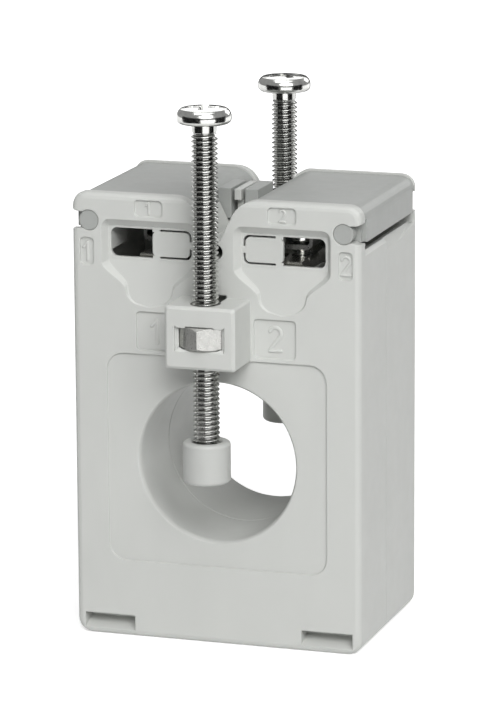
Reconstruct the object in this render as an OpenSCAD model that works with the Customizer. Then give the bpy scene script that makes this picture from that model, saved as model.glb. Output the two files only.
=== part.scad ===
// Current transformer in a moulded case: a round conductor passes through its bore
// and two insulated clamp screws hold it. Two hinged covers close the terminals.
// Millimetres. X runs along the front, Y from front to rear, Z up; the origin is the
// centre of the foot.

/* [Case] */
// Width of the case along its front
case_w = 43; // [42.6:0.2:44]
// Depth of the case from front face to rear face
case_d = 28; // [27.6:0.2:30]
// Height of the case from its foot to the top of its end walls
case_h = 65; // [65:0.2:66]
// Thickness of the side, bottom and inner walls
wall = 1.6; // [1.4:0.1:1.8]
// Thickness of the front end wall
front_wall = 1.9; // [1.7:0.1:2.1]
// Thickness of the rear end wall above the wire windows
rear_wall = 1.2; // [1.1:0.1:1.4]
// Radius of the lower corners seen from the front
foot_corner_r = 2.2; // [1.8:0.1:2.6]
// Radius of the upper corners seen from the front
top_corner_r = 2; // [1.6:0.1:2.2]
// Rounding of the edges round the front and rear faces
edge_r = 0.9; // [0.6:0.1:1.1]
// Distance from the middle of the depth to the joint between the two shells
parting = 1.4; // [1.2:0.1:1.5]

/* [Conductor bore] */
// Radius of the bore that the conductor passes through
bore_r = 11.6; // [11:0.1:11.8]
// Height of the bore axis above the foot
bore_z = 26.8; // [26.6:0.1:27]
// Thickness of the sleeve round the bore
sleeve_t = 1.4; // [1.2:0.1:1.5]
// Rounding at the mouth of the bore
mouth_r = 1.1; // [0.8:0.1:1.2]
// Half width of the shallow square field round the bore
field_half = 16.4; // [16:0.1:16.8]
// Depth of the shallow fields in the end walls
field_depth = 0.3; // [0.2:0.05:0.4]

/* [Clamp blocks and screws] */
// Distance from the end face to the axis of a clamp screw
screw_reach = 4.15; // [4.1:0.05:4.3]
// Width of a clamp block
block_w = 10.4; // [10.2:0.1:11]
// How far a clamp block stands out from the end face
block_out = 7.1; // [7:0.1:7.4]
// Height of the underside of a clamp block
block_low = 41.9; // [41.8:0.1:42]
// Height of a clamp block
block_h = 9; // [8.8:0.1:9.2]
// Nominal diameter of the clamp screws
clamp_d = 4; // [4]
// Pitch of the clamp screws
clamp_pitch = 0.7; // [0.7]
// Width across the flats of the clamp nuts
nut_flats = 7; // [7]
// Thickness of the clamp nuts
nut_h = 3.2; // [3.2]
// Height of the underside of the front clamp screw's head as drawn
front_head_low = 76.2; // [75.9:0.1:76.3]
// Height of the underside of the rear clamp screw's head as drawn
rear_head_low = 75.1; // [74.8:0.1:75.2]
// Length of a clamp screw below its head
screw_len = 48.1; // [47.9:0.1:48.2]
// Radius of the pressure caps
cap_r = 3.4; // [3.3:0.05:3.5]
// Height of a pressure cap
cap_h = 5.9; // [5.7:0.1:6.1]

/* [Terminal covers] */
// Height of the pivot pins above the foot
pivot_z = 61; // [60.9:0.05:61.1]
// Distance from the side of the case to the pivot pins
pivot_in = 2.6; // [2.6]
// Radius of the pivot pins
pivot_r = 1.45; // [1.4:0.01:1.46]
// Thickness of the cover walls
cover_t = 1.4; // [1.3:0.1:1.5]
// How far the cover tops lie below the top of the end walls
cover_drop = 0.35; // [0.3:0.05:0.4]
// How far one cover opens, in degrees
cover_open = 90; // [90]

/* [Wire windows] */
// Distance from the middle of the front to the middle of a wire window
window_x = 9.9; // [9.8:0.1:10]
// Width of a wire window
window_w = 12.1; // [11.8:0.1:12.2]
// Height of the sill of a wire window
window_low = 55.75; // [55.7:0.05:55.8]
// Height of a wire window
window_h = 4.2; // [4.1:0.1:4.3]
// Depth of the recess round a wire window
recess_depth = 1.2; // [1:0.1:1.2]
// How much narrower the recess is at its bottom than at its mouth
recess_taper = 0.86; // [0.84:0.02:0.9]
// Width of the slit round a knock-out
slit = 0.3; // [0.25:0.05:0.35]

/* [Terminals] */
// Distance from the middle plane to a terminal screw, along the front
term_x = 10.4; // [10.3:0.1:10.5]
// Distance from the middle plane to a terminal screw, front to rear
term_y = 6; // [5.8:0.1:6.2]
// Nominal diameter of the terminal screws
term_d = 3; // [3]
// Height of the top of the terminal bars
bar_top = 56.2; // [56.1:0.05:56.3]
// Height of the underside of the clamp plates as drawn
plate_low = 57.3; // [57.3:0.05:57.5]

/* [Ring] */
// Mean radius of the iron ring
ring_mean_r = 16.3; // [16.3]
// Radial thickness of the iron ring
ring_t = 2.2; // [2:0.1:2.4]
// Height of the iron ring along the bore
ring_len = 17.2; // [16:0.2:17.6]
// Thickness of the copper winding on each side of the ring
winding_t = 1; // [0.8:0.1:1]

/* [Hidden] */
$fn = 64;
arc_steps = 6;
half_w = case_w / 2;
front_y = -case_d / 2;
inner_y = front_y + front_wall;
screw_y = case_d / 2 + screw_reach;
block_y = case_d / 2 + block_out;
block_top = block_low + block_h;
block_mid = block_low + block_h / 2;
front_cap_low = 25.2;
rear_cap_low = 25.8;
cap_floor = 1.1;
screw_clear = 0.15;
run_clear = 0.05;
body_clear = 0.3;
over = 0.5;

clamp_r = clamp_d / 2;
head_r = 3.85;
head_h = 3.1;
neck_r = clamp_r - 0.2;
neck_h = 1.1;

pivot_x = half_w - pivot_in;
hub_r = 1.95;
cover_low = pivot_z - 1.4;
swing_r = norm([pivot_in, pivot_z - cover_low]) + 0.1;
ledge_z = pivot_z - 2.75;
cover_top = case_h - cover_drop;
notch_cx = 6.2;
notch_r = 4.05;
notch_cz = case_h - notch_r;
notch_turn = 64;
notch_floor = 59.2;
web_half = 2.6;
web_low = 59.9;
ridge_half = 3.6;
lug_half = 0.5;
lug_root = 2.2;
lug_low = 63;
nose_in = 1.05;
nose_out = 3;
nose_low = 60.3;
eye_z = 61.6;
eye_r = 0.5;

ledge_in = 0.6;

floor_z = 48.2;
floor_top = floor_z + 1.4;
sill_y = front_y + recess_depth;
window_top = window_low + window_h;
recess_top = 61.45;
recess_half = 7.45;
recess_mid = 57.8;
funnel_low = 48.4;
funnel_half = 3.7;

term_r = term_d / 2;
term_head_r = 1.75;
bar_t = 0.55;
bar_h = 1.5;
bar_w = 4.3;
bar_low = bar_top - bar_h;
plate_t = 0.7;
plate_w = 4.5;
plate_d = 4.6;

wrap_t = 0.3;

front_colour = [0.80, 0.81, 0.79];
cover_colour = [0.76, 0.77, 0.75];
steel = [0.78, 0.77, 0.74];
zinc = [0.70, 0.70, 0.68];
tinned = [0.72, 0.71, 0.66];
iron = [0.35, 0.35, 0.37];
paper = [0.80, 0.74, 0.58];
copper = [0.72, 0.42, 0.20];
tape = [0.86, 0.80, 0.42];

// Points of an arc about (cx, cz), from angle a0 to angle a1
function arc(cx, cz, r, a0, a1, n = arc_steps) =
    [for (i = [0 : n]) let (a = a0 + (a1 - a0) * i / n) [cx + r * cos(a), cz + r * sin(a)]];

// A rectangle whose lower corners have radius rl and upper corners ru
function round_box(x0, z0, x1, z1, rl, ru) =
    concat(arc(x1 - ru, z1 - ru, ru, 0, 90), arc(x0 + ru, z1 - ru, ru, 90, 180),
           arc(x0 + rl, z0 + rl, rl, 180, 270), arc(x1 - rl, z0 + rl, rl, 270, 360));

// Half width of a wire funnel at height z: an ogee above, an ellipse below
function funnel_w(z) =
    let (bend = 50.9, shoulder = 55, s = min(1, max(0, (z - bend) / (shoulder - bend))))
    z < bend ? funnel_half * sqrt(max(0, 1 - pow((bend - z) / (bend - funnel_low), 2)))
             : funnel_half + (recess_half - funnel_half) * s * s * (3 - 2 * s);

// The V notch of the end walls, one side: a large rounding, then a steep straight
function notch_side(r, top) =
    let (a = notch_turn, ex = notch_cx - r * sin(a), ez = notch_cz + r * cos(a),
         drop = ez - notch_floor)
    concat([[notch_cx, top + over]],
           arc(notch_cx, notch_cz, r, 90, 90 + a, 8),
           [[ex - drop / tan(a), notch_floor]]);

// Extrudes an (x, z) profile between two depths
module along_y(y0, y1) {
    translate([0, y1, 0])
        rotate([90, 0, 0])
            linear_extrude(y1 - y0)
                children();
}

// Extrudes a (y, z) profile between two widths
module along_x(x0, x1) {
    translate([x0, 0, 0])
        rotate([90, 0, 90])
            linear_extrude(x1 - x0)
                children();
}

// A box given by its two far corners
module span(low, high) {
    translate(low)
        cube(high - low);
}

// A cylinder along Y between two depths
module rod_y(x, z, r, y0, y1) {
    translate([x, y1, z])
        rotate([90, 0, 0])
            cylinder(h = y1 - y0, r = r);
}

// A solid of revolution about the bore axis
module about_bore() {
    translate([0, 0, bore_z])
        rotate([90, 0, 0])
            rotate_extrude()
                children();
}

// The same shape on the left and the right
module both_sides() {
    children();
    mirror([1, 0, 0])
        children();
}

// One part of the case as a full block up to the parting plane at part_y, with
// rounded edges round its end face and, on the front part, a chamfer at the joint
module half_block(part_y, chamfer) {
    steps = 3;
    skin = 0.02;
    hull() {
        for (i = [0 : steps]) {
            a = 90 * i / steps;
            inset = edge_r * (1 - sin(a));
            along_y(front_y + edge_r * (1 - cos(a)), front_y + edge_r + skin)
                polygon(round_box(-half_w + inset, inset, half_w - inset, case_h - inset,
                                  foot_corner_r - inset, top_corner_r - inset));
        }
        along_y(front_y + edge_r, part_y - chamfer)
            polygon(round_box(-half_w, 0, half_w, case_h, foot_corner_r, top_corner_r));
        if (chamfer > 0)
            along_y(part_y - chamfer, part_y)
                polygon(round_box(-half_w + chamfer, chamfer, half_w - chamfer, case_h - chamfer,
                                  foot_corner_r - chamfer, top_corner_r - chamfer));
    }
}

// The room inside one part: ring chamber below, terminal chambers above
module half_room(cover_y, part_y) {
    span([-half_w + wall, inner_y, wall], [half_w - wall, part_y + over, floor_z]);
    both_sides()
        span([web_half, inner_y, floor_top], [half_w - wall, part_y + over, case_h + over]);
    // the covers' seat: the side walls end in a ledge below the covers
    lip = half_w - ledge_in;
    both_sides()
        along_y(cover_y, part_y + over)
            polygon([[half_w - wall - over, ledge_z - 0.45], [lip, ledge_z],
                     [half_w + 0.1, ledge_z - ledge_in], [half_w + over, ledge_z - ledge_in],
                     [half_w + over, case_h + over], [half_w - wall - over, case_h + over]]);
}

// Opening between the two slopes of the V notch
module notch(y0, y1) {
    side = notch_side(notch_r, case_h);
    along_y(y0, y1)
        polygon(concat(side, [for (i = [len(side) - 1 : -1 : 0]) [-side[i][0], side[i][1]]]));
}

// Recess and funnel that lead a wire to its window
module wire_recess() {
    rows = 24;
    corner = 1.3;
    rise = recess_top - corner - funnel_low;
    side = [for (i = [1 : rows - 1]) let (z = funnel_low + rise * i / rows)
               [funnel_w(z), z - recess_mid]];
    outline = concat(
        [[0, funnel_low - recess_mid]],
        side,
        arc(recess_half - corner, recess_top - corner - recess_mid, corner, 0, 90, 4),
        arc(-recess_half + corner, recess_top - corner - recess_mid, corner, 90, 180, 4),
        [for (i = [len(side) - 1 : -1 : 0]) [-side[i][0], side[i][1]]]);
    reach = recess_depth + over;
    intersection() {
        translate([window_x, front_y - over, recess_mid])
            rotate([90, 0, 0])
                mirror([0, 0, 1])
                    linear_extrude(reach, scale = recess_taper)
                        polygon(outline);
        along_x(0, half_w)
            polygon([[front_y - over, funnel_low - 0.4 * over], [front_y, funnel_low],
                     [sill_y, window_low - 0.4], [sill_y, window_top + 0.3],
                     [front_y, recess_top], [front_y - over, recess_top + 0.4 * over]]);
    }
}

// Open half of a window, and the slit that frees the knock-out of the other half
module wire_window() {
    x0 = window_x - window_w / 2;
    x1 = window_x + window_w / 2;
    knock = window_x - 0.2;
    web = 1.1;
    bridge_t = 0.45;
    difference() {
        along_y(front_y, inner_y + over)
            polygon(round_box(x0, window_low, x1, window_top, 0.9, 0.9));
        difference() {
            along_y(front_y - over, inner_y + 2 * over)
                polygon(round_box(x0 + slit, window_low + slit, knock, window_top - slit,
                                  0.7, 0.7));
            along_y(front_y - 2 * over, sill_y)
                square([half_w, case_h]);
        }
        // three thin webs hold the knock-out
        span([knock - web, sill_y, window_top - slit - 0.1], [knock, sill_y + bridge_t, case_h]);
        span([knock - web, sill_y, funnel_low], [knock, sill_y + bridge_t, window_low + slit + 0.1]);
        span([0, sill_y, window_low + 1.6], [x0 + slit + 0.1, sill_y + bridge_t, window_low + 2.6]);
    }
}

// Shallow fields in the end face: round the bore and for the markings
module fields() {
    corner = 0.6;
    y1 = front_y + field_depth;
    along_y(front_y - over, y1)
        polygon(round_box(-field_half, bore_z - 15.4, field_half, bore_z + 15.2, 2.5, 2.5));
    both_sides()
        along_y(front_y - over, y1) {
            polygon(round_box(window_x - 2.1, 61.9, window_x + 2.1, 64.25, corner, corner));
            polygon(round_box(half_w - 3.3, 54.5, half_w - 1.3, 58.5, corner, corner));
            polygon(round_box(block_w / 2 + 0.5, 42.6, 11.9, 48.2, corner, corner));
        }
}

// Pockets beside the foot that take a mounting foot; their floors slope outwards
module foot_pockets() {
    depth = 2.6;
    both_sides()
        along_x(half_w - 8.9, half_w - 1.3)
            polygon([[front_y - over, 0.9], [front_y, 0.9], [front_y + depth, 2.1],
                     [front_y + depth, 2.7], [front_y + depth - 0.5, 3.15], [front_y - over, 3.15]]);
}

// Solid stock behind the foot pockets
module pocket_backs() {
    both_sides()
        span([half_w - 8.9 - wall, inner_y - over, wall - over],
             [half_w - wall + over, front_y + 2.6 + wall, 3.15 + wall]);
}

// Walls inside the end wall that guide a wire from the window to its clamp plate
module wire_guides() {
    edge = window_x + window_w / 2;
    both_sides()
        span([edge, inner_y - over, window_low + 0.9], [edge + 0.7, -5.8, window_top + 0.2]);
}

// Keyholes in an end wall: the pivot pins snap in from the side of the case
module keyholes(y1) {
    both_sides() {
        rod_y(pivot_x, pivot_z, pivot_r + run_clear, front_y - over, y1);
        along_y(front_y - over, y1)
            polygon([[pivot_x, pivot_z - 1.2], [pivot_x + 1.5, pivot_z - 1.2],
                     [pivot_x + 1.9, cover_low], [half_w + over, cover_low],
                     [half_w + over, pivot_z + 1.75], [pivot_x + 2.1, pivot_z + 1.3],
                     [pivot_x + 1, pivot_z + 1.2], [pivot_x, pivot_z + 1.2]]);
    }
}

// Clamp block on the end face
module clamp_block() {
    r = 0.4;
    hull() {
        along_y(-block_y, -block_y + r)
            polygon(round_box(-block_w / 2 + r, block_low + r, block_w / 2 - r, block_top - r, r, r));
        along_y(-block_y + r, inner_y)
            polygon(round_box(-block_w / 2, block_low, block_w / 2, block_top, r, r));
    }
}

// Screw hole, nut pocket and nut window of a clamp block
module block_hollows() {
    hole_r = clamp_r + screw_clear;
    gap = 0.08;
    pocket_low = block_mid - nut_h / 2 - gap;
    pocket_top = block_mid + nut_h / 2 + gap;
    pocket_r = (nut_flats / 2 + gap) / cos(30);
    win_half = 3.2;
    win_low = 44.95;
    win_top = 47.85;
    translate([0, -screw_y, block_low - over])
        cylinder(h = block_h + 2 * over, r = hole_r);
    // slot behind the screw, through the end wall
    span([-1.7, -screw_y + 0.5, block_low - over], [1.7, inner_y + over, block_top + 0.4]);
    // pocket for the nut, and the way by which it is pushed in from inside
    translate([0, -screw_y, pocket_low])
        rotate(30)
            cylinder(h = pocket_top - pocket_low, r = pocket_r, $fn = 6);
    span([-nut_flats / 2 + 0.1, -screw_y + 1, pocket_low - gap],
         [nut_flats / 2 - 0.1, inner_y + over, pocket_top + gap]);
    // window for the corner of the nut, with a bevelled frame
    span([-win_half, -block_y - over, win_low], [win_half, -screw_y - 1, win_top]);
    bevel = 0.5;
    for (x = [-1, 1])
        along_y(-block_y - over, -block_y + bevel)
            polygon([[x * win_half, win_low], [x * (win_half + bevel), win_low - bevel],
                     [x * (win_half + bevel), win_top + bevel * 0.6], [x * win_half, win_top]]);
    along_x(-win_half - bevel, win_half + bevel)
        polygon([[-block_y - over, win_low - bevel - over], [-block_y + bevel, win_low],
                 [-block_y + bevel, win_top], [-block_y - over, win_top]]);
}

// Everything that the two parts of the case share; the covers begin at cover_y and
// the part ends at part_y, with a chamfer round its outside
module case_half(cover_y, part_y, chamfer) {
    ring_fit = ring_out_r() + run_clear;
    difference() {
        union() {
            difference() {
                half_block(part_y, chamfer);
                half_room(cover_y, part_y);
            }
            // sleeve round the bore
            rod_y(0, bore_z, bore_r + sleeve_t, front_y + edge_r, part_y);
            // cradle ribs under the ring, cut to its round
            difference() {
                both_sides() {
                    span([7.2, inner_y - over, wall - over], [8.6, -2, bore_z]);
                    span([13.6, inner_y - over, wall - over], [15, -2, bore_z]);
                }
                rod_y(0, bore_z, ring_fit, -ring_len / 2 - 2 * wrap_t - winding_t - run_clear, over);
            }
            // seats of the terminal bars
            both_sides() {
                span([term_x - 2.6, inner_y - over, floor_top - over], [term_x - 1.6, -3.5, bar_low]);
                span([term_x + 1.6, inner_y - over, floor_top - over], [term_x + 2.6, -3.5, bar_low]);
            }
            pocket_backs();
            wire_guides();
            clamp_block();
        }
        // bore and its rounded mouth
        rod_y(0, bore_z, bore_r, front_y - over, part_y + over);
        about_bore()
            mouth_cut(-part_y);
        // the web between the terminal chambers: V notch in front, flat under the noses
        notch(front_y - over, -ridge_half);
        both_sides()
            span([lug_half, -ridge_half, web_low], [web_half + over, part_y + over, case_h + over]);
        span([-web_half - over, -ridge_half, cover_top - 0.1],
             [web_half + over, part_y + over, case_h + over]);
        span([-web_half - over, -ridge_half - over, web_low], [web_half + over, -lug_root, lug_low]);
        both_sides() {
            wire_recess();
            wire_window();
        }
        fields();
        foot_pockets();
        block_hollows();
        // small round hole through the web
        rod_y(0, 57.45, 1.15, front_y - over, part_y + over);
        seal_eye();
        // half holes for the winding's ends in the floor
        both_sides()
            translate([lead_x(), 0, floor_z - over])
                cylinder(h = floor_top - floor_z + 2 * over, r = 0.8);
    }
}

function ring_out_r() = ring_mean_r + ring_t / 2 + wrap_t + winding_t + wrap_t;
function lead_x() = 5.4;

// Profile that rounds the mouth of the bore and chamfers its end at the parting plane,
// in (radius, distance towards the end face)
module mouth_cut(part) {
    y = -front_y;
    chamfer = 0.15;
    polygon(concat([[bore_r - over, y + over], [bore_r - over, y - mouth_r]],
                   arc(bore_r + mouth_r, y - mouth_r, mouth_r, 180, 90, 5),
                   [[bore_r + mouth_r, y + over]]));
    polygon([[bore_r - over, part - over], [bore_r + chamfer, part - over],
             [bore_r + chamfer, part], [bore_r - over, part + chamfer + over]]);
}

// Eye for a seal wire, across the lug and the covers' noses
module seal_eye() {
    translate([-nose_out - over, 0, eye_z])
        rotate([0, 90, 0])
            cylinder(h = 2 * nose_out + 2 * over, r = eye_r);
}

// Slanting scoop in the side wall, deep at the parting line and gone at the end wall
module finger_scoop(end_y, part_y) {
    skin = 0.02;
    deep = 2.1;
    lip = [half_w - ledge_in - 0.15, ledge_z];
    hull() {
        along_y(part_y - skin, part_y + over)
            polygon([lip, [half_w + over, ledge_z + over], [half_w + over, ledge_z - deep - over]]);
        along_y(end_y, end_y + skin)
            polygon([lip, [half_w + over, ledge_z + over], [half_w + over, ledge_z - over]]);
    }
}

module front_shell() {
    color(front_colour)
        difference() {
            case_half(inner_y, -parting, 0.15);
            keyholes(inner_y + over);
        }
}

module rear_shell() {
    cover_y = front_y + rear_wall;
    color(front_colour)
        rotate(180)
            difference() {
                case_half(cover_y, parting, 0);
                keyholes(inner_y + over);
                // the end wall is thinner where the covers run past it
                both_sides() {
                    span([web_half, cover_y, recess_top + 0.2],
                         [half_w + over, inner_y + over, case_h + over]);
                    span([pivot_x - swing_r, cover_y, pivot_z - swing_r],
                         [half_w + over, inner_y + over, case_h + over]);
                }
                // finger scoop under each cover
                both_sides()
                    finger_scoop(cover_y, parting);
            }
}

// A terminal cover as seen on the right; front and back are the depths of its ends
module cover_body(front, back) {
    z_in = cover_top - cover_t;
    r_out = notch_r - cover_drop;
    r_in = r_out - cover_t;
    turn = notch_turn - 5;
    ridge = ridge_half - 0.15;
    hub_len = 2.6;
    slot_back = 0.9;
    difference() {
        union() {
            along_y(front, back)
                polygon(concat(
                    [[half_w, cover_low]],
                    arc(half_w - top_corner_r, cover_top - top_corner_r, top_corner_r, 0, 90),
                    arc(notch_cx, notch_cz, r_out, 90, 90 + turn, 8),
                    arc(notch_cx, notch_cz, r_in, 90 + turn, 90, 8),
                    arc(half_w - top_corner_r, cover_top - top_corner_r, top_corner_r - cover_t, 90, 0, 3),
                    [[half_w - cover_t, cover_low]]));
            // nose towards the other cover, with a latch tongue beside the web
            along_y(-ridge, ridge)
                polygon([[nose_in, cover_top], [nose_in, nose_low], [2, nose_low],
                         [2.9, nose_low + 1.3], [4.6, nose_low + 1.6], [4.6, 62.4],
                         [nose_out, 63.1], [nose_out, cover_top]]);
            span([web_half + body_clear, -2.5, web_low - 0.9],
                 [web_half + body_clear + 0.9, 2.5, nose_low + 1.5]);
            // hubs that carry the pivot pins
            for (span_y = [[front, front + hub_len], [back - hub_len, back]])
                hull() {
                    rod_y(pivot_x, pivot_z, hub_r, span_y[0], span_y[1]);
                    span([half_w - cover_t, span_y[0], pivot_z - 1.2], [half_w - 0.2, span_y[1], pivot_z + 2]);
                }
        }
        seal_eye();
        // the side wall stands back behind the mouths of the keyholes
        for (y = [front - over, back - slot_back])
            span([pivot_x + hub_r, y, cover_low - over], [half_w + over, y + slot_back + over, pivot_z + 1.9]);
    }
    rod_y(pivot_x, pivot_z, pivot_r, front_y + 0.15, front + 1);
    rod_y(pivot_x, pivot_z, pivot_r, back - 1, case_d / 2 - 0.15);
}

module right_cover() {
    color(cover_colour)
        cover_body(inner_y + 0.12, -front_y - rear_wall - 0.12);
}

module left_cover() {
    color(cover_colour)
        mirror([1, 0, 0])
            cover_body(inner_y + 0.12, -front_y - rear_wall - 0.12);
}

// Pan-head screw with its axis on Z, head underside at z = 0
module pan_head(r, h, shank_r) {
    rim = 0.42 * h;
    rotate_extrude()
        polygon(concat([[0, 0], [r - 0.5, 0]],
                       arc(r - 0.5, 0.5, 0.5, -90, 0, 3),
                       arc(r - rim * 1.5, h - rim * 1.5, rim * 1.5, 0, 80, 5),
                       [[0, h]]));
    translate([0, 0, -0.5])
        cylinder(h = 1, r = shank_r);
}

// Cross recess cut into a head whose top is at z = 0
module cross_recess(reach, width, depth) {
    for (turn = [0, 90])
        rotate(turn)
            rotate([90, 0, 0])
                translate([0, 0, -width / 2])
                    linear_extrude(width)
                        polygon([[-reach, over], [-reach, 0], [-reach * 0.45, -depth],
                                 [reach * 0.45, -depth], [reach, 0], [reach, over]]);
}

// A clamp screw on the Z axis, with a plain end for the pressure cap
module clamp_screw(turn, head_low) {
    tip = head_low - screw_len;
    point = 0.3;
    translate([0, 0, head_low])
        difference() {
            pan_head(head_r, head_h, neck_r);
            translate([0, 0, head_h])
                rotate(turn)
                    cross_recess(2.3, 0.75, 1.9);
        }
    translate([0, 0, head_low - neck_h])
        cylinder(h = neck_h, r = neck_r);
    translate([0, 0, tip + point])
        cylinder(h = screw_len - neck_h - point, r = clamp_r);
    translate([0, 0, tip])
        cylinder(h = point, r1 = clamp_r - point, r2 = clamp_r);
}

module front_clamp_screw() {
    color(steel)
        translate([0, -screw_y, 0])
            clamp_screw(12, front_head_low);
}

module rear_clamp_screw() {
    color(steel)
        translate([0, screw_y, 0])
            clamp_screw(40, rear_head_low);
}

// Hexagon nut with its corners towards front and rear and chamfered ends
module clamp_nut() {
    corner_r = nut_flats / 2 / cos(30);
    chamfer = 0.45;
    translate([0, 0, block_mid - nut_h / 2])
        difference() {
            intersection() {
                rotate(30)
                    cylinder(h = nut_h, r = corner_r, $fn = 6);
                rotate_extrude()
                    polygon([[0, 0], [nut_flats / 2 - 0.1, 0], [corner_r + 0.1, chamfer],
                             [corner_r + 0.1, nut_h - chamfer], [nut_flats / 2 - 0.1, nut_h], [0, nut_h]]);
            }
            translate([0, 0, -over])
                cylinder(h = nut_h + 2 * over, r = clamp_r + run_clear);
        }
}

module front_clamp_nut() {
    color(zinc)
        translate([0, -screw_y, 0])
            clamp_nut();
}

module rear_clamp_nut() {
    color(zinc)
        translate([0, screw_y, 0])
            clamp_nut();
}

// Pressure cap: a cup that is pushed on to the end of the screw
module pressure_cap(cap_low) {
    r = 0.5;
    top = cap_low + cap_h;
    hole = clamp_r + run_clear;
    rotate_extrude()
        polygon(concat(
            [[0, cap_low]],
            arc(cap_r - r, cap_low + r, r, -90, 0, 4),
            arc(cap_r - r, top - r, r, 0, 90, 4),
            [[hole + 0.25, top], [hole, top - 0.25], [hole, cap_low + cap_floor], [0, cap_low + cap_floor]]));
}

module front_cap() {
    color(cover_colour)
        translate([0, -screw_y, 0])
            pressure_cap(front_cap_low);
}

module rear_cap() {
    color(cover_colour)
        translate([0, screw_y, 0])
            pressure_cap(rear_cap_low);
}

// Contact bar of one terminal: a formed channel with a threaded boss under each screw
// and a tail down to the winding's end
module terminal_bar() {
    half_len = 11.5;
    x0 = term_x - bar_w / 2;
    x1 = term_x + bar_w / 2;
    slope = 0.55;
    boss_half = 1.75;
    boss_reach = 2.1;
    tail_half = 1.4;
    tail_x = lead_x() - 1.2;
    tail_low = bar_low - 2.2;
    top = bar_top - bar_t;
    difference() {
        union() {
            along_y(-half_len, half_len)
                polygon([[x0, bar_low], [x0 + slope, bar_top], [x1 - slope, bar_top], [x1, bar_low],
                         [x1 - bar_t, bar_low], [x1 - slope - bar_t, top],
                         [x0 + slope + bar_t, top], [x0 + bar_t, bar_low]]);
            for (y = [-term_y, term_y])
                span([term_x - boss_half, y - boss_reach, bar_low], [term_x + boss_half, y + boss_reach, bar_top]);
            // tail: outwards from the bar, down, and under the end of the winding
            span([tail_x, -tail_half, bar_low], [x0 + slope, tail_half, bar_low + bar_t]);
            span([tail_x, -tail_half, tail_low], [tail_x + bar_t, tail_half, bar_low + bar_t]);
            span([tail_x, -tail_half, tail_low], [lead_x() + 1.2, tail_half, tail_low + bar_t]);
        }
        for (y = [-term_y, term_y])
            translate([term_x, y, bar_low - over])
                cylinder(h = bar_h + 2 * over, r = term_r + run_clear);
        translate([lead_x(), 0, tail_low - over])
            cylinder(h = 2 * over + bar_t, r = 0.5);
    }
}

module right_terminal_bar() {
    color(tinned)
        terminal_bar();
}

module left_terminal_bar() {
    color(tinned)
        mirror([1, 0, 0])
            terminal_bar();
}

// Terminal screw with its clamp plate held loosely under the head
module terminal_screw(turn) {
    low = bar_low - 2.4;
    head_z = plate_low + plate_t;
    head = 1.9;
    translate([0, 0, head_z + 0.02])
        difference() {
            pan_head(term_head_r, head, term_r);
            translate([0, 0, head])
                rotate(turn)
                    cross_recess(1.1, 0.5, 1.1);
        }
    translate([0, 0, low])
        cylinder(h = head_z + 0.3 - low, r = term_r);
}

// Clamp plate: a U with its flanges beside the screw's head
module clamp_plate() {
    flange = 0.5;
    rise = 1.6;
    bend = 1;
    z1 = plate_low + plate_t;
    x1 = plate_w / 2;
    difference() {
        along_y(-plate_d / 2, plate_d / 2)
            polygon(concat(
                arc(x1 - bend, plate_low + bend, bend, -90, 0, 4),
                [[x1, z1 + rise], [x1 - flange, z1 + rise], [x1 - flange, z1 + 0.3],
                 [x1 - flange - 0.3, z1], [-x1 + flange + 0.3, z1], [-x1 + flange, z1 + 0.3],
                 [-x1 + flange, z1 + rise], [-x1, z1 + rise]],
                arc(-x1 + bend, plate_low + bend, bend, 180, 270, 4)));
        translate([0, 0, plate_low - over])
            cylinder(h = plate_t + 2 * over, r = term_r + run_clear);
        translate([0, 0, z1])
            cylinder(h = rise + over, r = term_head_r + run_clear);
    }
}

module left_front_terminal_screw() {
    color(steel)
        translate([-term_x, -term_y, 0])
            terminal_screw(30);
}

module left_rear_terminal_screw() {
    color(steel)
        translate([-term_x, term_y, 0])
            terminal_screw(75);
}

module right_front_terminal_screw() {
    color(steel)
        translate([term_x, -term_y, 0])
            terminal_screw(15);
}

module right_rear_terminal_screw() {
    color(steel)
        translate([term_x, term_y, 0])
            terminal_screw(50);
}

module left_front_clamp_plate() {
    color(zinc)
        translate([-term_x, -term_y, 0])
            clamp_plate();
}

module left_rear_clamp_plate() {
    color(zinc)
        translate([-term_x, term_y, 0])
            clamp_plate();
}

module right_front_clamp_plate() {
    color(zinc)
        translate([term_x, -term_y, 0])
            clamp_plate();
}

module right_rear_clamp_plate() {
    color(zinc)
        translate([term_x, term_y, 0])
            clamp_plate();
}

// Section of the ring grown by t on every side
module ring_section(t) {
    translate([ring_mean_r - ring_t / 2 - t, -ring_len / 2 - t])
        square([ring_t + 2 * t, ring_len + 2 * t]);
}

// One closed layer of the ring between two growths
module ring_layer(t0, t1) {
    about_bore()
        difference() {
            ring_section(t1);
            ring_section(t0);
        }
}

module ring_core() {
    color(iron)
        about_bore()
            ring_section(0);
}

module core_insulation() {
    color(paper)
        ring_layer(0, wrap_t);
}

module secondary_winding() {
    color(copper)
        ring_layer(wrap_t, wrap_t + winding_t);
}

module winding_wrap() {
    color(tape)
        ring_layer(wrap_t + winding_t, 2 * wrap_t + winding_t);
}

// One end of the winding, up through the floor to its terminal bar
module lead() {
    wire_r = 0.45;
    low = bore_z + sqrt(pow(ring_out_r(), 2) - pow(lead_x() - wire_r, 2)) + 0.02;
    translate([lead_x(), 0, low])
        cylinder(h = bar_low - 1.3 - low, r = wire_r);
}

module right_lead() {
    color(copper)
        lead();
}

module left_lead() {
    color(copper)
        mirror([1, 0, 0])
            lead();
}

front_shell();
rear_shell();
left_cover();
right_cover();
front_clamp_screw();
rear_clamp_screw();
front_clamp_nut();
rear_clamp_nut();
front_cap();
rear_cap();
left_terminal_bar();
right_terminal_bar();
left_front_terminal_screw();
left_rear_terminal_screw();
right_front_terminal_screw();
right_rear_terminal_screw();
left_front_clamp_plate();
left_rear_clamp_plate();
right_front_clamp_plate();
right_rear_clamp_plate();
ring_core();
core_insulation();
secondary_winding();
winding_wrap();
left_lead();
right_lead();
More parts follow.
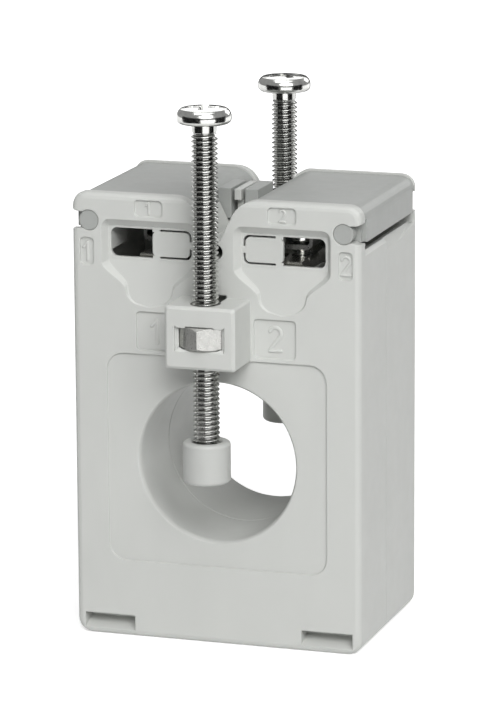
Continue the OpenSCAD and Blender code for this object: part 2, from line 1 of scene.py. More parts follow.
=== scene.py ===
"""Current transformer for a round conductor, dressed and lit round its CAD model.

Laid out as a Blender add-on: one operator makes each group of pieces, one the stage.
All lengths are in metres unless a name ends in _mm.
"""
import math

import bmesh
import bpy
import numpy as np
from mathutils import Matrix, Vector


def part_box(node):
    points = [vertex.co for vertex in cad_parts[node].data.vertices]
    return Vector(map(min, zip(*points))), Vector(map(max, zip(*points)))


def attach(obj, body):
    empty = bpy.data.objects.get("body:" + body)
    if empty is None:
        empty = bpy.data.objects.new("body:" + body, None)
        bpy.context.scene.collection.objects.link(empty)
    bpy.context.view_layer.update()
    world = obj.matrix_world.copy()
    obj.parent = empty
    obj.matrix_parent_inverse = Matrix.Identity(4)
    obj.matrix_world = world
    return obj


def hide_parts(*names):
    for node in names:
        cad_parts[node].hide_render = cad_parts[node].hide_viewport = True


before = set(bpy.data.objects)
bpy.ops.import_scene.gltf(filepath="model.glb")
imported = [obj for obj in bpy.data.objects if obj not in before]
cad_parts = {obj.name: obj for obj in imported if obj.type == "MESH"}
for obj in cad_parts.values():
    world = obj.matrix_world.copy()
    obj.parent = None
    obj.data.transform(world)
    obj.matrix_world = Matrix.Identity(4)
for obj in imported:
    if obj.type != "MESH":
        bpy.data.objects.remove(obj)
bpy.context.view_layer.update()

bl_info = {
    "name": "Current transformer dressing",
    "version": (1, 0, 0),
    "blender": (4, 5, 0),
    "location": "3D View > Sidebar > Transformer",
    "description": "Screw threads, markings, finishes and studio of a current transformer",
    "category": "Object",
}

MM = 0.001
VIEW_DISTANCE = 608.35 * MM
VIEW_ANGLES = (18.395, 12.856, -0.35)
TURN = 2 * math.pi


def node_box(name):
    """Lowest and highest corner of a CAD node, as numpy arrays."""
    low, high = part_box(name)
    return np.array(low), np.array(high)


# ---------------------------------------------------------------- mesh making

def grid_quads(rows, cols, first):
    """Quads between neighbouring rows and columns of a grid of points, numbered from first."""
    r = np.arange(rows - 1)[:, None] * cols
    c = np.arange(cols - 1)[None, :]
    corner = first + r + c
    return np.stack([corner, corner + 1, corner + cols + 1, corner + cols], -1).reshape(-1, 4)


def surface(name, sheets, sharp=35):
    """One closed mesh from sheets of points, each an array (rows, columns, 3) in metres.

    Rows or columns that meet, and rows that shrink to a point, are merged; faces point outwards.
    """
    points, quads, first = [], [], 0
    for sheet in sheets:
        rows, cols = sheet.shape[:2]
        points.append(sheet.reshape(-1, 3))
        quads.append(grid_quads(rows, cols, first))
        first += rows * cols
    points, quads = np.concatenate(points), np.concatenate(quads)
    mesh = bpy.data.meshes.new(name)
    mesh.from_pydata(points, [], quads)
    build = bmesh.new()
    build.from_mesh(mesh)
    bmesh.ops.remove_doubles(build, verts=build.verts, dist=2e-7)
    bmesh.ops.dissolve_degenerate(build, edges=build.edges, dist=1e-8)
    bmesh.ops.recalc_face_normals(build, faces=build.faces)
    build.to_mesh(mesh)
    build.free()
    mesh.polygons.foreach_set("use_smooth", np.ones(len(mesh.polygons), bool))
    mesh.set_sharp_from_angle(angle=math.radians(sharp))
    piece = bpy.data.objects.new(name, mesh)
    bpy.context.scene.collection.objects.link(piece)
    return piece


def lathe(profile, cols):
    """Sheet of a profile of (radius, height) points turned once round Z."""
    turn = np.linspace(0, TURN, cols + 1)
    r, z = np.asarray(profile, float).T
    return np.stack([r[:, None] * np.cos(turn), r[:, None] * np.sin(turn),
                     np.broadcast_to(z[:, None], (len(r), cols + 1))], -1)


def arc(cx, cz, radius, start, end, steps):
    """Points of an arc about (cx, cz) from start to end, in degrees."""
    a = np.radians(np.linspace(start, end, steps + 1))
    return np.stack([cx + radius * np.cos(a), cz + radius * np.sin(a)], -1)


def stroke_sheet(path, width, relief):
    """Sheet of a raised stroke along a path of (x, z) points, its crest relief high.

    At each point the cross-section is half an ellipse, width across and relief high, in the
    plane of the path's normal; it closes with a flat foot below, and both ends shrink to a point
    over a quarter circle. Heights lie along -y, out of an end face.
    """
    path = np.asarray(path, float)
    along = np.gradient(path, axis=0)
    along /= np.linalg.norm(along, axis=1)[:, None]
    across = np.stack([-along[:, 1], along[:, 0]], -1)
    cap = np.linspace(0, math.pi / 2, 5)
    ends = [path[0] - along[0] * width / 2 * np.cos(cap)[:, None],
            path[-1] + along[-1] * width / 2 * np.sin(cap)[:, None]]
    centre = np.concatenate([ends[0], path[1:-1], ends[1]])
    normal = np.concatenate([np.repeat(across[:1], 5, 0), across[1:-1], np.repeat(across[-1:], 5, 0)])
    swell = np.concatenate([np.sin(cap), np.ones(len(path) - 2), np.cos(cap)])
    a = np.linspace(0, math.pi, 9)
    side = np.concatenate([np.cos(a), [-1, 1]]) * width / 2
    out = np.concatenate([np.sin(a) * relief, [-relief, -relief]])
    side, out = np.append(side, side[0]), np.append(out, out[0])
    flat = centre[:, None, :] + normal[:, None, :] * (swell[:, None] * side)[..., None]
    lift = np.where(out > 0, out * swell[:, None], out)
    return np.stack([flat[..., 0], -lift, flat[..., 1]], -1)


def numeral(digit, height, width):
    """Paths, as (x, z) points, of the numeral 1 or 2 about the origin, without serifs."""
    h, w = height / 2, width / 2
    if digit == 1:
        return [np.linspace([0, -h], [0, h], 12), np.linspace([0, h], [-w, h - w * 1.1], 6)]
    bow = arc(0, h - w, w, 160, -35, 18)
    slant = np.linspace(bow[-1], [-w, -h], 10)[1:]
    return [np.concatenate([bow, slant]), np.linspace([-w, -h], [w, -h], 8)]


def thread_sheet(crest_r, root_r, pitch, low, high, cols=40, fade=1.5):
    """Sheet of a screw thread between two heights.

    Row k of the grid is a helix: at angle t its height is pitch * (phase_k + t / full turn), so
    every flank, crest and root is a row of its own. The radius follows the phase: crest for an
    eighth of the pitch, straight flanks, rounded root. It fades to the root radius over the last
    turn at both ends, heights are clipped to the ends, and past them the radius falls to zero.
    """
    phase = np.array([0, 0.125, 0.27, 0.40, 0.47, 0.56, 0.655, 0.725, 0.855])
    tooth = np.array([1, 1, 0.52, 0.10, 0.0, 0.0, 0.0, 0.10, 0.52])
    first = math.floor(low / pitch) - 3
    count = math.ceil((high - low) / pitch) + 6
    steps = (first + np.arange(count)[:, None] + phase).ravel()
    heights = np.tile(tooth, count)
    turn = np.linspace(0, TURN, cols + 1)
    z = pitch * (steps[:, None] + turn / TURN)
    room = np.minimum(z - low, high - z) / (fade * pitch)
    depth = heights[:, None] * np.clip(room * 1.2, 0, 1)
    r = root_r + (crest_r - root_r) * depth
    past = np.maximum(np.maximum(low - z, z - high), 0) / pitch
    r = r * np.clip(1 - past, 0, 1)
    z = np.clip(z, low, high)
    return np.stack([r * np.cos(turn), r * np.sin(turn), z], -1)


def cross_depth(x, y, turn, reach, half_width, deep):
    """Depth of a cross recess at (x, y).

    Along an arm it slopes down towards the axis, and across the arm the walls are steep.
    """
    c, s = math.cos(turn), math.sin(turn)
    u, v = np.abs(c * x + s * y), np.abs(c * y - s * x)
    depth = np.zeros_like(x)
    for along, across in ((u, v), (v, u)):
        slope = np.minimum((reach - along) * 1.15, (half_width - across) * 5)
        depth = np.maximum(depth, np.minimum(slope, deep))
    return depth


def head_sheet(radius, height, base, recess_turn, reach, half_width, deep, rows=96, cols=168):
    """Sheet of a pan head with a cross recess, its underside at height base.

    Profile: flat underside, wide lower rounding, short side, shoulder that ends in an edge, and
    a slightly crowned top. The top's height at (x, y) is lowered by cross_depth.
    """
    rim, shoulder, lift = 0.30 * height, 0.56 * height, 0.41 * height
    side = np.concatenate([
        [[0, 0], [radius - rim, 0]],
        arc(radius - rim, rim, rim, -90, 0, 8)[1:],
        arc(radius - shoulder, lift, shoulder, 0, 58, 12)])
    edge_r, edge_z = side[-1]
    s = np.linspace(1, 0, rows)[1:]
    top = np.stack([edge_r * s, edge_z + (height - edge_z) * (1 - s ** 2)], -1)
    profile = np.concatenate([side, top])
    sheet = lathe(profile, cols)
    x, y = sheet[..., 0], sheet[..., 1]
    inner = np.arange(len(profile))[:, None] >= len(side) - 2
    dip = cross_depth(x, y, recess_turn, reach, half_width, deep)
    sheet[..., 2] += base - np.where(inner, dip, 0)
    return sheet


# ---------------------------------------------------------------- materials

class Shader:
    """Small helper that adds nodes to a material and links them."""

    def __init__(self, name):
        self.material = bpy.data.materials.new(name)
        self.material.use_nodes = True
        self.tree = self.material.node_tree
        self.tree.nodes.clear()
        self.out = self.add("ShaderNodeOutputMaterial")
        self.surface = self.add("ShaderNodeBsdfPrincipled")
        self.link(self.surface.outputs[0], self.out.inputs["Surface"])
        self.place = self.add("ShaderNodeTexCoord").outputs["Object"]

    def add(self, kind, **values):
        made = self.tree.nodes.new(kind)
        for key, value in values.items():
            setattr(made, key, value)
        return made

    def link(self, source, socket):
        self.tree.links.new(source, socket)

    def feed(self, socket, value):
        """Sets a socket to a number or colour, or links it to another node's output."""
        if isinstance(value, bpy.types.NodeSocket):
            self.link(value, socket)
        else:
            socket.default_value = value

    def math(self, operation, a, b=0.0, clamp=False):
        made = self.add("ShaderNodeMath", operation=operation, use_clamp=clamp)
        self.feed(made.inputs[0], a)
        self.feed(made.inputs[1], b)
        return made.outputs[0]

    def noise(self, size_mm, detail=2.0, roughness=0.5, stretch=(1, 1, 1), distortion=0.0):
        """Noise whose features are about size_mm across; stretch lengthens them along an axis."""
        spread = self.add("ShaderNodeMapping")
        self.link(self.place, spread.inputs["Vector"])
        spread.inputs["Scale"].default_value = tuple(1 / s for s in stretch)
        made = self.add("ShaderNodeTexNoise")
        self.link(spread.outputs[0], made.inputs["Vector"])
        made.inputs["Scale"].default_value = 1 / (size_mm * MM)
        made.inputs["Detail"].default_value = detail
        made.inputs["Roughness"].default_value = roughness
        made.inputs["Distortion"].default_value = distortion
        return made.outputs["Fac"]

    def ramp(self, value, low, high, at_low=0.0, at_high=1.0):
        """Value mapped from low..high to at_low..at_high, held at the ends."""
        made = self.add("ShaderNodeMapRange")
        for socket, number in zip(made.inputs, (value, low, high, at_low, at_high)):
            self.feed(socket, number)
        return made.outputs[0]

    def mix(self, factor, first, second, blend="MIX"):
        made = self.add("ShaderNodeMix", data_type="RGBA", blend_type=blend)
        self.feed(made.inputs[0], factor)
        self.feed(made.inputs[6], first)
        self.feed(made.inputs[7], second)
        return made.outputs[2]

    def bump(self, height, distance_mm, strength=1.0, normal=None):
        made = self.add("ShaderNodeBump")
        made.inputs["Strength"].default_value = strength
        made.inputs["Distance"].default_value = distance_mm * MM
        self.link(height, made.inputs["Height"])
        if normal is not None:
            self.link(normal, made.inputs["Normal"])
        return made.outputs[0]

    def soft_edges(self, radius_mm):
        """Normal with edges rounded by radius_mm, and a mask of where the edges are."""
        round_off = self.add("ShaderNodeBevel", samples=6)
        round_off.inputs["Radius"].default_value = radius_mm * MM
        true = self.add("ShaderNodeNewGeometry").outputs["Normal"]
        dot = self.add("ShaderNodeVectorMath", operation="DOT_PRODUCT")
        self.link(round_off.outputs[0], dot.inputs[0])
        self.link(true, dot.inputs[1])
        return round_off.outputs[0], self.ramp(dot.outputs["Value"], 0.995, 0.85)

    def set(self, **values):
        names = {"color": "Base Color", "metallic": "Metallic", "roughness": "Roughness",
                 "normal": "Normal", "coat": "Coat Weight", "coat_roughness": "Coat Roughness",
                 "specular": "Specular IOR Level", "ior": "IOR", "sheen": "Sheen Weight"}
        for key, value in values.items():
            self.feed(self.surface.inputs[names[key]], value)
        return self.material


def shade(color, factor):
    """A colour made lighter or darker by a factor."""
    return tuple(min(1.0, c * factor) for c in color[:3]) + (1.0,)


def moulded_plastic(name, color, edge_mm, grain=1.0):
    """Pale thermoplastic from a fine-eroded mould: faint flow marks, fine grain, and a painted
    highlight along the edges.
    """
    s = Shader(name)
    normal, edge = s.soft_edges(edge_mm)
    flow = s.noise(7, 2, 0.5, stretch=(1, 1, 2.5), distortion=0.4)
    cloud = s.mix(s.ramp(flow, 0.3, 0.7), shade(color, 0.985), shade(color, 1.012))
    speck = s.ramp(s.noise(0.35, 3, 0.6), 0.66, 0.78)
    tinted = s.mix(s.math("MULTIPLY", speck, 0.10), cloud, shade(color, 0.80))
    # Painted highlight: the colour is made lighter along the edges, where rounded edges catch the
    # light.
    painted_edge_highlight = s.mix(s.math("MULTIPLY", edge, 0.45), tinted, shade(color, 1.16))
    erosion = s.noise(0.09, 3, 0.65)
    rough = s.ramp(s.noise(2.2, 3, 0.6), 0.3, 0.7, 0.40, 0.50)
    bumpy = s.bump(erosion, 0.006 * grain, 0.5, normal)
    return s.set(color=painted_edge_highlight, roughness=rough, normal=bumpy, specular=0.42)


def plated_metal(name, color, rough, mottle=0.25, edge_mm=0.03, stretch=(1, 1, 1)):
    """Electroplated steel: bright, slightly uneven plating with fine pits and handling marks."""
    s = Shader(name)
    normal, edge = s.soft_edges(edge_mm)
    patch = s.ramp(s.noise(0.8, 4, 0.65, stretch), 0.35, 0.70)
    tone = s.mix(s.math("MULTIPLY", patch, mottle), color, shade(color, 0.55))
    # The colour is made lighter along the edges.
    lighter_at_edges = s.mix(s.math("MULTIPLY", edge, 0.35), tone, shade(color, 1.15))
    fine = s.noise(0.16, 3, 0.6, stretch)
    roughness = s.ramp(fine, 0.3, 0.75, rough * 0.75, rough * 1.5)
    return s.set(color=lighter_at_edges, metallic=1.0, roughness=roughness,
                 normal=s.bump(fine, 0.006, 0.35, normal))


def threaded_steel(name, color, rough, axis, root_r, crest_r):
    """Plated screw steel with painted shade in the thread: darker in the roots and on the lower
    flanks.
    """
    s = Shader(name)
    normal, edge = s.soft_edges(0.03)
    from_axis = s.add("ShaderNodeVectorMath", operation="SUBTRACT")
    s.link(s.place, from_axis.inputs[0])
    from_axis.inputs[1].default_value = (axis[0], axis[1], 0)
    level = s.add("ShaderNodeVectorMath", operation="MULTIPLY")
    s.link(from_axis.outputs[0], level.inputs[0])
    level.inputs[1].default_value = (1, 1, 0)
    radius = s.add("ShaderNodeVectorMath", operation="LENGTH")
    s.link(level.outputs[0], radius.inputs[0])
    # Painted shade: the colour is darkened towards the thread roots and on the downward-facing
    # flanks.
    root = s.ramp(radius.outputs["Value"], root_r, crest_r, 0.45, 1.0)
    facing = s.add("ShaderNodeSeparateXYZ")
    s.link(s.add("ShaderNodeNewGeometry").outputs["Normal"], facing.inputs[0])
    under = s.ramp(facing.outputs["Z"], -0.6, 0.0, 0.55, 1.0)
    patch = s.ramp(s.noise(0.7, 4, 0.65), 0.35, 0.70)
    tone = s.mix(s.math("MULTIPLY", patch, 0.4), color, shade(color, 0.5))
    painted_shade_mask = s.math("MULTIPLY", root, under)
    painted_shade_tone = s.mix(painted_shade_mask, shade(color, 0.06), tone)
    # Along the edges the painted shade gives way to the plain tone.
    lighter_at_edges = s.mix(s.math("MULTIPLY", edge, 0.3), painted_shade_tone, tone)
    fine = s.noise(0.16, 3, 0.6)
    roughness = s.ramp(fine, 0.3, 0.75, rough * 0.75, rough * 1.5)
    return s.set(color=lighter_at_edges, metallic=1.0, roughness=roughness,
                 normal=s.bump(fine, 0.006, 0.35, normal))


def laminated_iron(name, color):
    """Ring wound of thin strip: rings of slightly different grey, one strip thick."""
    s = Shader(name)
    gap = s.add("ShaderNodeVectorMath", operation="LENGTH")
    plane = s.add("ShaderNodeVectorMath", operation="MULTIPLY")
    s.link(s.place, plane.inputs[0])
    plane.inputs[1].default_value = (1, 0, 1)
    centre = s.add("ShaderNodeVectorMath", operation="SUBTRACT")
    s.link(plane.outputs[0], centre.inputs[0])
    low, high = node_box("ring_core")
    centre.inputs[1].default_value = (0, 0, (low[2] + high[2]) / 2)
    s.link(centre.outputs[0], gap.inputs[0])
    strip = s.math("FRACT", s.math("MULTIPLY", gap.outputs["Value"], 1 / (0.3 * MM)))
    tone = s.mix(s.ramp(strip, 0.0, 0.25), shade(color, 0.5), color)
    return s.set(color=tone, metallic=0.8, roughness=s.ramp(s.noise(0.5), 0.3, 0.7, 0.35, 0.5),
                 normal=s.bump(strip, 0.02, 0.6))


def wrapped(name, color, turn_mm, rough, metallic=0.0):
    """Turns laid side by side round a ring: bands across the ring, seen as ridges."""
    s = Shader(name)
    low, high = node_box("ring_core")
    apart = s.add("ShaderNodeSeparateXYZ")
    s.link(s.place, apart.inputs[0])
    up = s.math("SUBTRACT", apart.outputs["Z"], float(low[2] + high[2]) / 2)
    angle = s.math("ARCTAN2", up, apart.outputs["X"])
    turns = TURN * 16.3 / turn_mm
    band = s.math("PINGPONG", s.math("MULTIPLY", angle, turns / TURN), 0.5)
    tone = s.mix(s.ramp(band, 0.0, 0.2), shade(color, 0.6), color)
    mottled = s.mix(s.ramp(s.noise(0.8, 3), 0.3, 0.7), tone, shade(color, 0.88))
    return s.set(color=mottled, metallic=metallic, roughness=rough,
                 normal=s.bump(band, 0.15, 0.8))


def give(node, material):
    """Puts one material on every slot of a CAD node or piece."""
    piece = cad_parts.get(node) if isinstance(node, str) else node
    piece.data.materials.clear()
    piece.data.materials.append(material)


# ---------------------------------------------------------------- settings

class TransformerFinish(bpy.types.PropertyGroup):
    """Colours and finish of the transformer's pieces."""

    case_color: bpy.props.FloatVectorProperty(
        name="Case colour", description="Pale grey of the moulded case", subtype="COLOR",
        size=4, min=0, max=1, default=(0.565, 0.575, 0.553, 1))
    cover_color: bpy.props.FloatVectorProperty(
        name="Cover colour", description="Grey of the hinged covers", subtype="COLOR",
        size=4, min=0, max=1, default=(0.375, 0.386, 0.372, 1))
    cap_color: bpy.props.FloatVectorProperty(
        name="Cap colour", description="Grey of the pressure caps", subtype="COLOR",
        size=4, min=0, max=1, default=(0.504, 0.513, 0.495, 1))
    edge_mm: bpy.props.FloatProperty(
        name="Edge softness", description="Rounding of the moulded edges, in millimetres",
        default=0.22, min=0.02, max=0.5)
    screw_color: bpy.props.FloatVectorProperty(
        name="Screw colour", description="Bright plating of the screws", subtype="COLOR",
        size=4, min=0, max=1, default=(0.76, 0.765, 0.74, 1))
    zinc_color: bpy.props.FloatVectorProperty(
        name="Nut colour", description="Duller zinc plating of nuts and clamp plates",
        subtype="COLOR", size=4, min=0, max=1, default=(0.52, 0.52, 0.50, 1))
    tin_color: bpy.props.FloatVectorProperty(
        name="Bar colour", description="Tin plating of the terminal bars", subtype="COLOR",
        size=4, min=0, max=1, default=(0.62, 0.61, 0.57, 1))


class TransformerSizes(bpy.types.PropertyGroup):
    """Sizes of the pieces made here."""

    clamp_pitch: bpy.props.FloatProperty(
        name="Clamp screw pitch", description="Thread pitch of the clamp screws",
        subtype="DISTANCE", unit="LENGTH", default=0.7 * MM, min=0.5 * MM, max=1 * MM)
    clamp_depth: bpy.props.FloatProperty(
        name="Clamp thread depth", description="Depth of the clamp screws' thread",
        subtype="DISTANCE", unit="LENGTH", default=0.38 * MM, min=0.1 * MM, max=0.45 * MM)
    terminal_pitch: bpy.props.FloatProperty(
        name="Terminal screw pitch", description="Thread pitch of the terminal screws",
        subtype="DISTANCE", unit="LENGTH", default=0.5 * MM, min=0.35 * MM, max=0.7 * MM)
    case_depth: bpy.props.FloatProperty(
        name="Case depth", description="Distance between the two end faces of the case",
        subtype="DISTANCE", unit="LENGTH", default=28 * MM, min=27 * MM, max=30 * MM)
    field_depth: bpy.props.FloatProperty(
        name="Field depth", description="Depth of the shallow fields that carry the numerals",
        subtype="DISTANCE", unit="LENGTH", default=0.3 * MM, min=0.1 * MM, max=0.5 * MM)
    mark_height: bpy.props.FloatProperty(
        name="Numeral height", description="Height of the raised numerals on the top fields",
        subtype="DISTANCE", unit="LENGTH", default=1.6 * MM, min=1 * MM, max=2.2 * MM)


class TransformerStage(bpy.types.PropertyGroup):
    """Lamps, world and camera."""

    lens: bpy.props.FloatProperty(
        name="Lens", description="Focal length of the camera, in millimetres", default=213.56,
        min=50, max=400)
    key_power: bpy.props.FloatProperty(
        name="Key power", description="Power of the large softbox", subtype="POWER",
        unit="POWER", default=5.7, min=0, max=50)
    fill_power: bpy.props.FloatProperty(
        name="Fill power", description="Power of the smaller softbox in front", subtype="POWER",
        unit="POWER", default=1.8, min=0, max=50)
    top_power: bpy.props.FloatProperty(
        name="Top power", description="Power of the softbox overhead", subtype="POWER",
        unit="POWER", default=1.6, min=0, max=50)
    back_power: bpy.props.FloatProperty(
        name="Back power", description="Power of the softbox behind on the right",
        subtype="POWER", unit="POWER", default=0.9, min=0, max=50)
    bore_power: bpy.props.FloatProperty(
        name="Bore power", description="Power of the softbox behind that lights the bore",
        subtype="POWER", unit="POWER", default=0.6, min=0, max=50)
    sky: bpy.props.FloatProperty(
        name="Sky", description="Brightness of the studio that polished metal reflects",
        default=0.33, min=0, max=1)
    ambient: bpy.props.FloatProperty(
        name="Ambient", description="Even light from all round on everything else",
        default=0.03, min=0, max=1)


# ---------------------------------------------------------------- operators

class CT_OT_case(bpy.types.Operator):
    """Moulded plastic of the case halves, covers and pressure caps."""
    bl_idname = "transformer.case"
    bl_label = "Finish the case"

    def execute(self, context):
        finish = context.scene.transformer_finish
        case = moulded_plastic("case_plastic_grey", finish.case_color, finish.edge_mm)
        cover = moulded_plastic("cover_plastic_grey", finish.cover_color, finish.edge_mm, 1.3)
        cap = moulded_plastic("cap_plastic_grey", finish.cap_color, finish.edge_mm)
        for node, material in (("front_shell", case), ("rear_shell", case),
                               ("left_cover", cover), ("right_cover", cover),
                               ("front_cap", cap), ("rear_cap", cap)):
            give(node, material)
        return {"FINISHED"}


class CT_OT_clamp_screws(bpy.types.Operator):
    """The two long clamp screws: pan head with cross recess, neck, thread and plain end."""
    bl_idname = "transformer.clamp_screws"
    bl_label = "Make the clamp screws"

    def execute(self, context):
        sizes = context.scene.transformer_sizes
        finish = context.scene.transformer_finish
        crest_r = 1.88 * MM
        root_r = crest_r - sizes.clamp_depth
        neck_r, neck_h, head_h, end_h, point = 1.73 * MM, 1.2 * MM, 2.35 * MM, 1.6 * MM, 0.3 * MM
        head_room = 0.42 * MM
        for end, turn in (("front", 0.2), ("rear", 0.75)):
            node = end + "_clamp_screw"
            low, high = node_box(node)
            centre = (low + high) / 2
            head_r = (high[0] - low[0]) / 2
            base, tip = high[2] - head_room - head_h, low[2]
            neck_low = base - neck_h
            neck = lathe([(0, neck_low), (neck_r, neck_low), (neck_r, base + point),
                          (0, base + point)], 64)
            plain = lathe([(0, tip), (crest_r - point, tip), (crest_r, tip + point),
                           (crest_r, tip + end_h), (0, tip + end_h)], 64)
            thread = thread_sheet(crest_r, root_r, sizes.clamp_pitch, tip + end_h - point,
                                  neck_low + 0.2 * MM)
            head = head_sheet(head_r, head_h, base, turn, 2.35 * MM, 0.55 * MM, 1.7 * MM)
            piece = surface(end + "_clamp_screw_threaded",
                            [s + [centre[0], centre[1], 0] for s in (head, neck, thread, plain)])
            give(piece, threaded_steel(end + "_screw_steel", finish.screw_color, 0.15, centre,
                                       root_r, crest_r))
            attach(piece, node)
            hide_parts(node)
        return {"FINISHED"}


class CT_OT_terminals(bpy.types.Operator):
    """Terminal screws with thread and recess, ribbed bars, clamp plates and nuts."""
    bl_idname = "transformer.terminals"
    bl_label = "Make the terminals"

    def execute(self, context):
        sizes = context.scene.transformer_sizes
        finish = context.scene.transformer_finish
        steel = plated_metal("bright_terminal_steel", finish.screw_color, 0.16)
        zinc = plated_metal("zinc_plating", finish.zinc_color, 0.30, 0.35)
        tin = plated_metal("tin_plating", finish.tin_color, 0.22, 0.30)
        for side, end in ((a, b) for a in ("left", "right") for b in ("front", "rear")):
            stem = f"{side}_{end}"
            node = stem + "_terminal_screw"
            low, high = node_box(node)
            centre = (low + high) / 2
            head_r, head_h = (high[0] - low[0]) / 2, 1.9 * MM
            base = high[2] - head_h
            crest_r = 1.49 * MM
            thread = thread_sheet(crest_r, crest_r - 0.28 * MM, sizes.terminal_pitch, low[2],
                                  base + 0.1 * MM, cols=28)
            turn = {"left_front": 0.5, "left_rear": 1.3,
                    "right_front": 0.26, "right_rear": 0.87}[stem]
            head = head_sheet(head_r, head_h, base, turn, 1.35 * MM, 0.38 * MM, 1.0 * MM,
                              rows=52, cols=96)
            piece = surface(stem + "_terminal_screw_threaded",
                            [s + [centre[0], centre[1], 0] for s in (head, thread)])
            give(piece, steel)
            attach(piece, node)
            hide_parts(node)
            give(stem + "_clamp_plate", zinc)
        for side in ("left", "right"):
            give(side + "_terminal_bar", tin)
            give(side + "_lead", wrapped("enamelled_wire_" + side, (0.55, 0.25, 0.09, 1), 1.0,
                                         0.25, 1.0))
        for end in ("front", "rear"):
            give(end + "_clamp_nut", zinc)
        return {"FINISHED"}


class CT_OT_numerals(bpy.types.Operator):
    """Raised numerals on the small fields of both end faces."""
    bl_idname = "transformer.numerals"
    bl_label = "Raise the numerals"

    def execute(self, context):
        sizes = context.scene.transformer_sizes
        finish = context.scene.transformer_finish
        plastic = moulded_plastic("numeral_plastic_grey", finish.case_color, 0.05)
        field_y = sizes.field_depth - sizes.case_depth / 2
        fields = ((9.9, 63.1, sizes.mark_height), (8.8, 45.4, 2.1 * sizes.mark_height),
                  (19.2, 56.5, 1.6 * sizes.mark_height))
        for end, turn in (("front", 1), ("rear", -1)):
            sheets = []
            for side, digit in ((-1, 1), (1, 2)):
                for x, z, height in fields:
                    for path in numeral(digit, height, height * 0.5):
                        sheet = stroke_sheet(path, 0.13 * height + 0.12 * MM, sizes.field_depth * 0.6)
                        sheet = sheet * [1, 1, 1] + [side * x * MM * turn, field_y, z * MM]
                        sheets.append(sheet * [turn, turn, 1])
            piece = surface(end + "_numerals", sheets, 50)
            give(piece, plastic)
            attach(piece, "case")
        return {"FINISHED"}


class CT_OT_ring(bpy.types.Operator):
    """Finishes of the ring inside the case: strip iron, paper, copper and tape."""
    bl_idname = "transformer.ring"
    bl_label = "Finish the ring"

    def execute(self, context):
        give("ring_core", laminated_iron("strip_iron", (0.20, 0.20, 0.22, 1)))
        give("core_insulation", wrapped("paper_wrap", (0.60, 0.52, 0.34, 1), 9.0, 0.8))
        give("secondary_winding", wrapped("copper_turns", (0.60, 0.27, 0.10, 1), 0.8, 0.3, 1.0))
        give("winding_wrap", wrapped("tape_wrap", (0.70, 0.60, 0.20, 1), 8.0, 0.4))
        return {"FINISHED"}


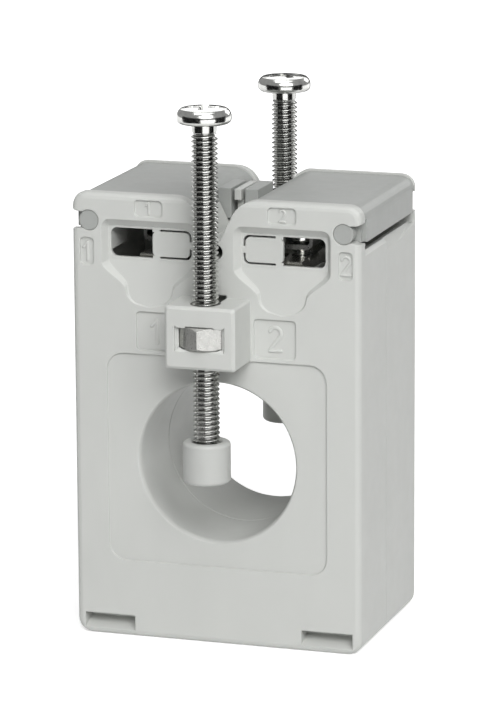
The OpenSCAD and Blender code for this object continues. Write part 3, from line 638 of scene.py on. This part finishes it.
class CT_OT_stage(bpy.types.Operator):
    """White table, softbox, grey studio and the camera."""
    bl_idname = "transformer.stage"
    bl_label = "Set the stage"

    def execute(self, context):
        scene = context.scene
        stage = scene.transformer_stage
        self.table()
        self.cards()
        self.lamp("key", 34, 36, 0.9, (0.62, 0.42), stage.key_power)
        self.lamp("fill", 15, 36, 0.9, (0.5, 0.42), stage.fill_power)
        self.lamp("top", 0, 80, 0.7, (0.6, 0.5), stage.top_power)
        self.lamp("back", 160, 22, 0.8, (0.4, 0.3), stage.back_power)
        self.lamp("bore", 200, 22, 0.8, (0.4, 0.3), stage.bore_power)
        self.world(stage.sky, stage.ambient)
        self.camera(stage.lens)
        scene.view_settings.view_transform = "Standard"
        return {"FINISHED"}

    def table(self):
        """Round white table top, wide enough to fill every view."""
        sheet = lathe([(0, 0), (0.1, 0), (0.5, 0), (4, 0)], 64)
        piece = surface("table_top", [sheet[::-1]])
        s = Shader("white_table")
        s.set(color=s.mix(s.noise(60, 2), (0.80, 0.80, 0.80, 1), (0.82, 0.82, 0.82, 1)),
              roughness=0.7, specular=0.2)
        glow = s.add("ShaderNodeEmission")
        distance = s.add("ShaderNodeVectorMath")
        distance.operation = "LENGTH"
        s.link(s.add("ShaderNodeTexCoord").outputs["Object"], distance.inputs[0])
        far = s.add("ShaderNodeMapRange")
        far.inputs["From Min"].default_value = 0.1
        far.inputs["From Max"].default_value = 0.7
        far.inputs["To Min"].default_value = 0.6
        far.inputs["To Max"].default_value = 1.0
        s.link(distance.outputs["Value"], far.inputs["Value"])
        s.link(far.outputs["Result"], glow.inputs["Strength"])
        rays = s.add("ShaderNodeLightPath")
        seen = s.math("MAXIMUM", rays.outputs["Is Camera Ray"],
                      s.math("MAXIMUM", rays.outputs["Is Glossy Ray"],
                             rays.outputs["Is Transmission Ray"]))
        none = s.add("ShaderNodeEmission")
        none.inputs["Strength"].default_value = 0.0
        lit = s.add("ShaderNodeMixShader")
        s.link(seen, lit.inputs[0])
        s.link(none.outputs[0], lit.inputs[1])
        s.link(glow.outputs[0], lit.inputs[2])
        both = s.add("ShaderNodeAddShader")
        s.link(s.surface.outputs[0], both.inputs[0])
        s.link(lit.outputs[0], both.inputs[1])
        s.link(both.outputs[0], s.out.inputs["Surface"])
        give(piece, s.material)

    def cards(self):
        """Dark cards close round the object, open towards the key, that only metal reflects."""
        radius, top = 0.13, 0.11
        sheets = []
        for start, end in ((-75, 4), (58, 112), (170, 215)):
            a = np.radians(np.linspace(start, end, 41))
            ring = np.stack([np.sin(a), -np.cos(a), np.zeros_like(a)], -1) * radius
            sheets.append(np.stack([ring + [0, 0, z] for z in (0.002, top)]))
        piece = surface("dark_cards", sheets)
        s = Shader("dark_card")
        s.set(color=s.mix(s.noise(30), (0.018, 0.018, 0.018, 1), (0.03, 0.03, 0.03, 1)),
              roughness=0.9, specular=0.1)
        give(piece, s.material)
        piece.visible_camera = piece.visible_diffuse = piece.visible_shadow = False

    def lamp(self, name, azimuth, elevation, distance, size, power):
        """Rectangular softbox that looks at the middle of the case from an azimuth and elevation."""
        a, e = math.radians(azimuth), math.radians(elevation)
        back = np.array([math.sin(a) * math.cos(e), -math.cos(a) * math.cos(e), math.sin(e)])
        data = bpy.data.lights.new(name, "AREA")
        data.shape = "RECTANGLE"
        data.size, data.size_y = size
        data.energy = power
        lamp = bpy.data.objects.new(name, data)
        bpy.context.scene.collection.objects.link(lamp)
        lamp.location = Vector(back * distance) + Vector((0, 0, 0.04))
        lamp.rotation_euler = Vector(-back).to_track_quat("-Z", "Y").to_euler()

    def world(self, level, ambient):
        """Studio round the object: white to the camera, grey to polished metal, dim otherwise."""
        world = bpy.data.worlds.new("studio")
        world.use_nodes = True
        tree = world.node_tree
        tree.nodes.clear()
        out = tree.nodes.new("ShaderNodeOutputWorld")
        rays = tree.nodes.new("ShaderNodeLightPath")
        shown = None
        for strength, kind in ((ambient, None), (level, "Is Glossy Ray"), (1.0, "Is Camera Ray")):
            light = tree.nodes.new("ShaderNodeBackground")
            light.inputs["Color"].default_value = (1, 1, 1, 1)
            light.inputs["Strength"].default_value = strength
            if shown is None:
                shown = light.outputs[0]
                continue
            pick = tree.nodes.new("ShaderNodeMixShader")
            tree.links.new(rays.outputs[kind], pick.inputs[0])
            tree.links.new(shown, pick.inputs[1])
            tree.links.new(light.outputs[0], pick.inputs[2])
            shown = pick.outputs[0]
        tree.links.new(shown, out.inputs["Surface"])
        bpy.context.scene.world = world

    def camera(self, lens):
        """Camera a little to the right of the front and above it."""
        yaw, pitch, roll = (math.radians(angle) for angle in VIEW_ANGLES)
        target = Vector((0.254, 0, 39.643)) * MM
        back = Vector((math.sin(yaw) * math.cos(pitch), -math.cos(yaw) * math.cos(pitch),
                       math.sin(pitch)))
        right = (-back).cross(Vector((0, 0, 1))).normalized()
        up = right.cross(-back)
        across = math.cos(roll) * right + math.sin(roll) * up
        upward = -math.sin(roll) * right + math.cos(roll) * up
        data = bpy.data.cameras.new("view")
        data.lens = lens
        data.sensor_width = 36
        data.clip_start, data.clip_end = 0.01, 20
        camera = bpy.data.objects.new("view", data)
        bpy.context.scene.collection.objects.link(camera)
        turn = Matrix((across, upward, back)).transposed().to_4x4()
        camera.matrix_world = Matrix.Translation(target + back * VIEW_DISTANCE) @ turn
        bpy.context.scene.camera = camera


class CT_PT_panel(bpy.types.Panel):
    """Lists the steps that dress the transformer."""
    bl_idname = "CT_PT_panel"
    bl_label = "Current transformer"
    bl_space_type = "VIEW_3D"
    bl_region_type = "UI"
    bl_category = "Transformer"

    def draw(self, context):
        for operator in OPERATORS:
            self.layout.operator(operator.bl_idname)
        for group in (context.scene.transformer_finish, context.scene.transformer_sizes,
                      context.scene.transformer_stage):
            box = self.layout.box()
            for key in group.__annotations__:
                box.prop(group, key)


GROUPS = {"transformer_finish": TransformerFinish, "transformer_sizes": TransformerSizes,
          "transformer_stage": TransformerStage}
OPERATORS = [CT_OT_case, CT_OT_clamp_screws, CT_OT_terminals, CT_OT_numerals, CT_OT_ring,
             CT_OT_stage]


def register():
    for made in (*GROUPS.values(), *OPERATORS, CT_PT_panel):
        bpy.utils.register_class(made)
    for key, group in GROUPS.items():
        setattr(bpy.types.Scene, key, bpy.props.PointerProperty(type=group))


def unregister():
    for key in GROUPS:
        delattr(bpy.types.Scene, key)
    for made in (CT_PT_panel, *reversed(OPERATORS), *GROUPS.values()):
        bpy.utils.unregister_class(made)


def main():
    register()
    for operator in OPERATORS:
        group, step = operator.bl_idname.split(".")
        getattr(getattr(bpy.ops, group), step)()


if __name__ == "__main__":
    main()
